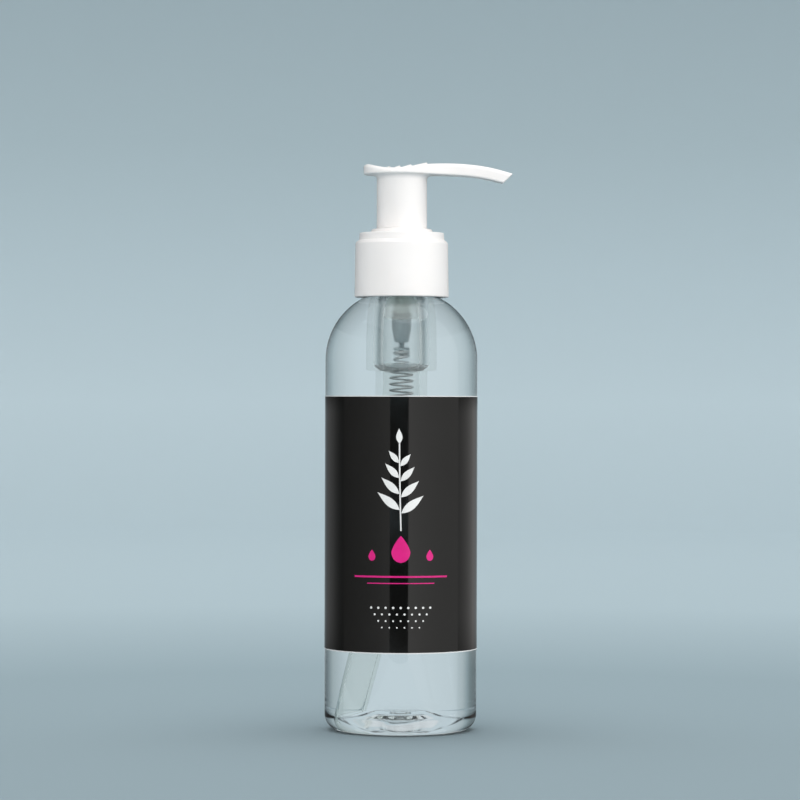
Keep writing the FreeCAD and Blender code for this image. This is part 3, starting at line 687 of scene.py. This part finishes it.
stem = lathe("stem", soft([
    (1.5, 124.7), (1.5, 124.3, 0.1), (2.3, 124.3, 0.15), (2.3, 132.6, 0.1), (3.4, 132.6, 0.1), (3.6, 132.8, 0.1), (3.6, 167.0, 0.1), (3.1, 167.5, 0.1), (1.9, 167.5, 0.1), (1.9, 133.4, 0.2), (1.5, 132.4, 0.2), (1.5, 130.0),
]), [STEM_MAT], n=72)
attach(stem, "plunger")
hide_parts("pump_stem")

core = lathe("core", soft([
    (0.0, 126.1), (1.2, 126.1, 0.1), (1.48, 125.8, 0.1), (1.48, 124.0, 0.1), (2.3, 124.0, 0.1), (2.85, 123.6, 0.1), (3.2, 123.3, 0.15), (3.1, 122.2, 0.3), (2.95, 120.6, 0.6), (2.2, 118.25, 0.2),
    (0.85, 118.1, 0.2), (0.85, 117.15, 0.1), (2.5, 117.1, 0.12), (2.5, 116.7, 0.12), (0.85, 116.7, 0.1), (0.85, 115.9, 0.3), (0.5, 115.5, 0.2), (0.0, 115.5),
]), [CORE_MAT], n=72, closed=False)
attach(core, "plunger")
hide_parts("valve_core")

piston = lathe("piston", soft([
    (2.78, 126.0), (2.78, 123.66, 0.05), (3.45, 123.66, 0.1), (3.55, 127.4, 0.2), (5.0, 127.4, 0.2), (5.05, 124.0, 0.1), (5.35, 123.9, 0.1), (5.8, 124.05, 0.15), (5.78, 124.65, 0.1), (5.45, 125.5, 0.3), (5.45, 128.5), (5.45, 133.0, 0.3),
    (5.78, 133.85, 0.1), (5.8, 134.45, 0.15), (5.35, 134.6, 0.1), (5.05, 134.5, 0.1), (5.0, 128.4, 0.2), (3.5, 128.4, 0.2), (3.35, 131.3, 0.1), (2.36, 131.3, 0.05), (2.36, 130.7, 0.05), (2.78, 130.3, 0.1), (2.78, 128.0),
]), [LIP_MAT], n=96)
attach(piston, "piston")
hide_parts("piston_seal")


# spring with a closed turn at each end
def spring_line():
    turns, dead = 16.0, 0.9
    z0, z1 = SPRING_Z0 + WIRE_R + 0.03, SPRING_Z1 - WIRE_R - 0.03
    flat = 2 * WIRE_R * 0.98 * dead
    pts = []
    for i in range(int(turns * 40) + 1):
        t = i / 40
        if t < dead:
            z = z0 + flat * t / dead
        elif t > turns - dead:
            z = z1 - flat * (turns - t) / dead
        else:
            s = (t - dead) / (turns - 2 * dead)
            z = z0 + flat + (z1 - z0 - 2 * flat) * s
        a = TAU * t
        pts.append((COIL_R * math.cos(a), COIL_R * math.sin(a), z))
    return pts


line = np.array(spring_line())
for _ in range(3):  # ease the change of pitch
    line[1:-1, 2] = (line[:-2, 2] + 2 * line[1:-1, 2] + line[2:, 2]) / 4


def coil(name, centres, radius, mats, n=12):
    """A rod along a helix about Z, its section kept square to the wire."""
    verts, faces = [], []
    t = np.gradient(centres, axis=0)
    t /= np.linalg.norm(t, axis=1)[:, None]
    for p, way in zip(centres, t):
        out = np.array((p[0], p[1], 0.0))
        out /= np.linalg.norm(out)
        top = np.cross(way, out)
        for k in range(n):
            a = TAU * k / n
            verts.append(tuple(p + radius * (math.cos(a) * out + math.sin(a) * top)))
    m = len(centres)
    for i in range(m - 1):
        for k in range(n):
            q = (k + 1) % n
            faces.append([i * n + k, i * n + q, (i + 1) * n + q, (i + 1) * n + k])
    faces.append(list(range(n)))
    faces.append(list(range((m - 1) * n, m * n)))
    return mesh_object(name, verts, faces, mats, None, 50)


spring = coil("spring", line, WIRE_R, [STEEL])
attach(spring, "pump_unit")
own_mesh(spring)
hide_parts("return_spring")

ball = lathe("ball", [(2.0 * math.sin(t), 84.36 - 2.0 * math.cos(t)) for t in np.linspace(0, math.pi, 33)], [STEEL], n=48, closed=False)
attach(ball, "ball")
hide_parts("inlet_ball")

# ------------------------------------------------------------------ head: the frame's own mesh
head = frame["nodes"]["actuator_head"]
head.data.materials.clear()
head.data.materials.append(WHITE_HEAD)
head.data.polygons.foreach_set("use_smooth", np.ones(len(head.data.polygons), bool))


# ------------------------------------------------------------------ stage
def stage_material(name, lo, hi, rough=0.9):
    m, nt, b = material(name)
    nt.links.new(ramp(nt, noise(nt, 1.5, 2.0), [(0.3, lo), (0.7, hi)]), b.inputs["Base Color"])
    put(b, Roughness=rough, IOR=1.3)
    b.inputs["Specular IOR Level"].default_value = 0.1
    return m


def graded(name, stops, out_from_axis):
    """A matt sheet whose tone changes with the distance from the axis, or with the height."""
    m, nt, b = material(name)
    geo = nt.nodes.new("ShaderNodeNewGeometry")
    xyz = nt.nodes.new("ShaderNodeSeparateXYZ")
    nt.links.new(geo.outputs["Position"], xyz.inputs["Vector"])
    at = xyz.outputs["Z"]
    if out_from_axis:
        flat = nt.nodes.new("ShaderNodeVectorMath")
        flat.operation = "LENGTH"
        nt.links.new(geo.outputs["Position"], flat.inputs[0])
        at = flat.outputs["Value"]
    last = stops[-1][0]
    nt.links.new(ramp(nt, spread(nt, at, 0.0, 1.0, 0.0, last), [(d / last, c) for d, c in stops]), b.inputs["Base Color"])
    put(b, Roughness=0.9, IOR=1.3)
    b.inputs["Specular IOR Level"].default_value = 0.1
    return m


def glow(name, colour, near, far, axis_from, axis_to):
    """A lamp face whose strength runs from near to far between two points."""
    m = bpy.data.materials.new(name)
    m.use_nodes = True
    nt = m.node_tree
    nt.nodes.clear()
    out = nt.nodes.new("ShaderNodeOutputMaterial")
    em = nt.nodes.new("ShaderNodeEmission")
    em.inputs["Color"].default_value = (*colour, 1)
    geo = nt.nodes.new("ShaderNodeNewGeometry")
    sub = nt.nodes.new("ShaderNodeVectorMath")
    sub.operation = "SUBTRACT"
    sub.inputs[1].default_value = axis_from
    dot_n = nt.nodes.new("ShaderNodeVectorMath")
    dot_n.operation = "DOT_PRODUCT"
    d = Vector(axis_to) - Vector(axis_from)
    dot_n.inputs[1].default_value = d / d.length_squared
    nt.links.new(geo.outputs["Position"], sub.inputs[0])
    nt.links.new(sub.outputs["Vector"], dot_n.inputs[0])
    nt.links.new(spread(nt, dot_n.outputs["Value"], near, far, 0.0, 1.0), em.inputs["Strength"])
    nt.links.new(em.outputs["Emission"], out.inputs["Surface"])
    return m


def card(name, corners, mat, camera=False, diffuse=True, glossy=True, transmission=True, shadow=False):
    me = bpy.data.meshes.new(name)
    me.from_pydata([tuple(c) for c in corners], [], [tuple(range(len(corners)))])
    me.materials.append(mat)
    o = bpy.data.objects.new(name, me)
    scene.collection.objects.link(o)
    o.visible_camera, o.visible_diffuse, o.visible_glossy = camera, diffuse, glossy
    o.visible_transmission, o.visible_shadow = transmission, shadow
    o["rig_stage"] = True
    return o


def around(azimuth, dist):
    """A point round the bottle; 0 is the camera's side and positive is to the right."""
    a = math.radians(azimuth)
    return dist * math.sin(a), -dist * math.cos(a)


# floor tone with painted light and shade: painted shade in the middle under the bottle, a painted pool of light in a
# ring under its heel where the bottle gathers light, and painted shade near the bottle that lightens towards the wall
FLOOR_PAINTED_LIGHT_AND_SHADE = graded("floor", [(0.0, (0.22, 0.275, 0.29)), (0.011, (0.24, 0.30, 0.315)), (0.0155, (0.84, 0.89, 0.90)), (0.0208, (0.78, 0.83, 0.85)), (0.0228, (0.375, 0.462, 0.497)), (0.05, (0.38, 0.468, 0.503)), (0.22, (0.385, 0.475, 0.51)), (0.6, (0.54, 0.635, 0.67)), (1.5, (0.68, 0.775, 0.81))], True)
# the backdrop's tone is a painted shade: lightest a little above the floor and darker towards the top
BACKDROP_PAINTED_SHADE = graded("backdrop", [(0.0, (0.68, 0.775, 0.81)), (0.1, (0.755, 0.85, 0.885)), (0.22, (0.69, 0.785, 0.82)), (0.35, (0.60, 0.69, 0.72)), (0.55, (0.53, 0.61, 0.64))], False)

# a round floor that runs up into a round wall
wall_path = arc(1500, 700, 700, -90, 0, 64) + [(2200, 1100), (2200, 1700)]
floor = lathe("floor", [(0.0, 0.0), (40.0, 0.0), (70.0, 0.0)], [FLOOR_PAINTED_LIGHT_AND_SHADE], n=96, closed=False)
floor_out = lathe("floor_out", [(r, 0.0) for r in (70, 120, 400, 900, 1500)], [FLOOR_PAINTED_LIGHT_AND_SHADE], n=96, closed=False)
wall = lathe("backdrop", wall_path, [BACKDROP_PAINTED_SHADE], n=96, closed=False)
for o in (floor, floor_out, wall):
    o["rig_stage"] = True
floor.visible_glossy = floor_out.visible_glossy = floor_out.visible_transmission = False

# two tall panels left and right of the camera, with a dark gap between them
right0, right1 = around(11.0, 1.30), around(100.0, 1.15)
left0, left1 = around(-16.5, 1.30), around(-97.0, 1.15)
RIGHT = glow("lamp_right", (1.0, 0.985, 0.965), 1.0, 0.50, (*right0, 0), (*right1, 0))
LEFT = glow("lamp_left", (1.0, 0.99, 0.975), 0.50, 0.14, (*left0, 0), (*left1, 0))
LOW, HIGH = -0.078, 1.25
panel_right = card("panel_right", [(*right0, LOW), (*right1, LOW), (*right1, HIGH), (*right0, HIGH)], RIGHT)
panel_left = card("panel_left", [(*left1, LOW), (*left0, LOW), (*left0, HIGH), (*left1, HIGH)], LEFT)
# a near-black card seen only in reflections: a painted dark reflection band between the panels' reflections
PAINTED_DARK_REFLECTION = stage_material("dark_card", (0.010, 0.010, 0.010), (0.013, 0.013, 0.012), 1.0)
g0, g1 = around(-18.0, 1.7), around(12.0, 1.7)
card("gap_card", [(*g0, -0.110), (*g1, -0.110), (*g1, 0.107), (*g0, 0.107)], PAINTED_DARK_REFLECTION, diffuse=False, transmission=False)


def painted_surround_material(name, tones, heights):
    """A painted surround seen only through the bottle or in its reflections: an emission standing for the light and
    shade round the bottle, its tone by the angle from straight behind, times a share by height.
    """
    m = bpy.data.materials.new(name)
    m.use_nodes = True
    nt = m.node_tree
    nt.nodes.clear()
    out = nt.nodes.new("ShaderNodeOutputMaterial")
    em = nt.nodes.new("ShaderNodeEmission")
    geo = nt.nodes.new("ShaderNodeNewGeometry")
    xyz = nt.nodes.new("ShaderNodeSeparateXYZ")
    nt.links.new(geo.outputs["Position"], xyz.inputs["Vector"])
    turn = nt.nodes.new("ShaderNodeMath")
    turn.operation = "ARCTAN2"
    nt.links.new(xyz.outputs["X"], turn.inputs[0])
    nt.links.new(xyz.outputs["Y"], turn.inputs[1])
    share = spread(nt, turn.outputs["Value"], 0.0, 1.0, -math.pi, math.pi)
    tone = ramp(nt, share, [(0.5 + a / 360, c) for a, c in tones])
    low = ramp(nt, spread(nt, xyz.outputs["Z"], 0.0, 1.0, -0.05, 0.2), [((z + 50) / 250, (v, v, v)) for z, v in heights])
    both = nt.nodes.new("ShaderNodeMix")
    both.data_type, both.blend_type = "RGBA", "MULTIPLY"
    both.inputs[0].default_value = 1.0
    nt.links.new(tone, both.inputs[6])
    nt.links.new(low, both.inputs[7])
    nt.links.new(both.outputs[2], em.inputs["Color"])
    em.inputs["Strength"].default_value = 1.0
    nt.links.new(em.outputs["Emission"], out.inputs["Surface"])
    return m


# a painted surround, an emission hidden from the camera and from diffuse light; the calls below show it only through
# the bottle or only in reflections
def painted_surround(name, dist, z0, z1, half, mat):
    me = bpy.data.meshes.new(name)
    n = 144
    turns = [math.radians(half * (2 * k / n - 1)) for k in range(n + 1)]
    me.from_pydata([(dist * math.sin(t), dist * math.cos(t), z) for z in (z0, z1) for t in turns], [], [(k, k + 1, n + 2 + k, n + 1 + k) for k in range(n)])
    me.materials.append(mat)
    o = bpy.data.objects.new(name, me)
    scene.collection.objects.link(o)
    o.visible_camera = o.visible_diffuse = o.visible_glossy = o.visible_transmission = o.visible_shadow = False
    o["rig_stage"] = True
    return o


def both_ways(left, right):
    """The tones behind the bottle, left and right of straight behind, and the same in front of it."""
    front = [(-180 - a, c) for a, c in left[::-1]] + left + right + [(180 - a, c) for a, c in right[::-1]]
    return sorted(front)


# painted tones seen through the clear wall: the dark bands to each side paint the shade at the bottle's edges
NEAR_PAINTED_TONES = both_ways(
    [(-90, (0.44, 0.52, 0.545)), (-66, (0.40, 0.47, 0.495)), (-57, (0.10, 0.14, 0.155)), (-43, (0.13, 0.18, 0.195)), (-36, (0.175, 0.24, 0.26)), (-31, (0.285, 0.37, 0.40)), (-25, (0.44, 0.525, 0.555)), (-16, (0.555, 0.655, 0.70))],
    [(15, (0.56, 0.66, 0.705)), (25, (0.46, 0.55, 0.585)), (33, (0.395, 0.48, 0.505)), (41, (0.225, 0.29, 0.315)), (50, (0.09, 0.13, 0.15)), (57, (0.05, 0.07, 0.08)), (66, (0.40, 0.47, 0.495))])
FAR_PAINTED_TONES = both_ways(
    [(-90, (0.60, 0.68, 0.70)), (-80, (0.54, 0.61, 0.63)), (-73, (0.21, 0.27, 0.29)), (-56, (0.245, 0.32, 0.345)), (-45, (0.41, 0.505, 0.54)), (-37, (0.495, 0.59, 0.625)), (-24, (0.555, 0.65, 0.69))],
    [(20, (0.56, 0.66, 0.705)), (37, (0.48, 0.57, 0.605)), (45, (0.425, 0.525, 0.56)), (53, (0.325, 0.415, 0.45)), (63, (0.24, 0.31, 0.335)), (74, (0.21, 0.27, 0.29)), (80, (0.54, 0.61, 0.63))])
# painted light and shade seen only through the bottle: a low ring close round it for the base and a wider one for the
# wall, that one darker low down
painted_surround("painted_surround_low", 0.0699, -0.001, 0.06, 180, painted_surround_material("painted_surround_low", NEAR_PAINTED_TONES, ((-50, 0.95), (200, 0.95)))).visible_transmission = True
painted_surround("painted_surround", 0.25, -0.40, 0.18, 180, painted_surround_material("painted_surround", FAR_PAINTED_TONES, ((-50, 0.86), (10, 0.92), (60, 1.0), (200, 1.0)))).visible_transmission = True
# painted reflections, seen only in reflections: darker to the left, low down and high up, lighter straight behind and
# to the right
PAINTED_REFLECTION = painted_surround_material("painted_surround_gloss", [
    (-88, (0.115, 0.118, 0.118)), (-80, (0.14, 0.145, 0.145)), (-61, (0.30, 0.305, 0.305)), (-44, (0.285, 0.293, 0.295)), (-33, (0.21, 0.23, 0.24)), (-12, (0.36, 0.43, 0.46)), (0, (0.43, 0.53, 0.57)),
    (12, (0.40, 0.48, 0.51)), (30, (0.30, 0.32, 0.33)), (43, (0.57, 0.56, 0.555)), (60, (0.57, 0.56, 0.55)), (88, (0.42, 0.415, 0.41))], (
    (-50, 0.32), (0, 0.36), (10, 0.8), (20, 1.0), (98, 1.0), (106, 0.22), (200, 0.22)))
painted_surround("painted_surround_gloss", 0.25, -0.30, 0.45, 88, PAINTED_REFLECTION).visible_glossy = True


def lamp(name, at, to, size, watts, colour, glossy=False):
    data = bpy.data.lights.new(name, "AREA")
    data.shape, data.size, data.energy, data.color = "DISK", size, watts, colour
    o = bpy.data.objects.new(name, data)
    o.location = at
    o.rotation_euler = (Vector(to) - Vector(at)).to_track_quat("-Z", "Y").to_euler()
    o.visible_camera = False
    o.visible_glossy = glossy
    scene.collection.objects.link(o)
    return o


lamp("top_lamp", (0.1, -0.1, 1.45), (0, 0, 0.05), 1.2, 4.5, (0.98, 0.99, 1.0), True).visible_transmission = False
key = lamp("key_lamp", (*around(15, 1.15), 0.55), (0, 0, 0.12), 0.9, 1.6, (1.0, 0.98, 0.96))
side = lamp("side_lamp", (*around(78, 1.15), 0.50), (0, 0, 0.12), 0.9, 7.7, (1.0, 0.98, 0.96))
fill = lamp("fill_lamp", (*around(-22, 1.2), 0.4), (0, 0, 0.12), 0.9, 7.9, (1.0, 0.975, 0.955))
back = lamp("back_lamp", (*around(180, 1.2), 0.5), (0, 0, 0.12), 0.9, 2.6, (1.0, 0.985, 0.97))
back.visible_transmission = False
wide = lamp("wide_lamp", (0, 0, 1.65), (0, 0, 0), 2.6, 11.5, (0.98, 0.99, 1.0))
wide.visible_transmission = False

# the panels and the near lamps light only the bottle, and a wide lamp the floor and wall, so that these stay even
bottle_only = bpy.data.collections.new("bottle_only")
for o in list(scene.objects):
    if o.type in {"MESH", "CURVE"} and "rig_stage" not in o:
        bottle_only.objects.link(o)
for o in (panel_right, panel_left, key, side, fill, back):
    o.light_linking.receiver_collection = bottle_only
stage_only = bpy.data.collections.new("stage_only")
for o in (floor, floor_out, wall):
    stage_only.objects.link(o)
wide.light_linking.receiver_collection = stage_only

world = bpy.data.worlds.new("soft")
world.use_nodes = True
world.node_tree.nodes["Background"].inputs["Color"].default_value = (0.85, 0.91, 0.94, 1)
world.node_tree.nodes["Background"].inputs["Strength"].default_value = 0.80
scene.world = world

# ------------------------------------------------------------------ camera
cam_data = bpy.data.cameras.new("camera")
cam_data.sensor_width, cam_data.lens = 36.0, 145.05
cam_data.clip_start, cam_data.clip_end = 0.05, 20.0
cam_data.dof.use_dof = False
cam = bpy.data.objects.new("camera", cam_data)
cam.location = (-0.0004, -1.0, 0.1022)
cam.rotation_euler = (math.radians(90), math.radians(-0.17), 0)
scene.collection.objects.link(cam)
scene.camera = cam

scene.view_settings.view_transform = "Standard"
scene.cycles.max_bounces = 40
scene.cycles.transmission_bounces = 40
scene.cycles.glossy_bounces = 8
scene.cycles.diffuse_bounces = 4
scene.cycles.transparent_max_bounces = 16
scene.cycles.use_denoising = True
scene.cycles.sample_clamp_indirect = 8.0
scene.cycles.caustics_refractive = True
scene.cycles.caustics_reflective = False
scene.cycles.blur_glossy = 0.3
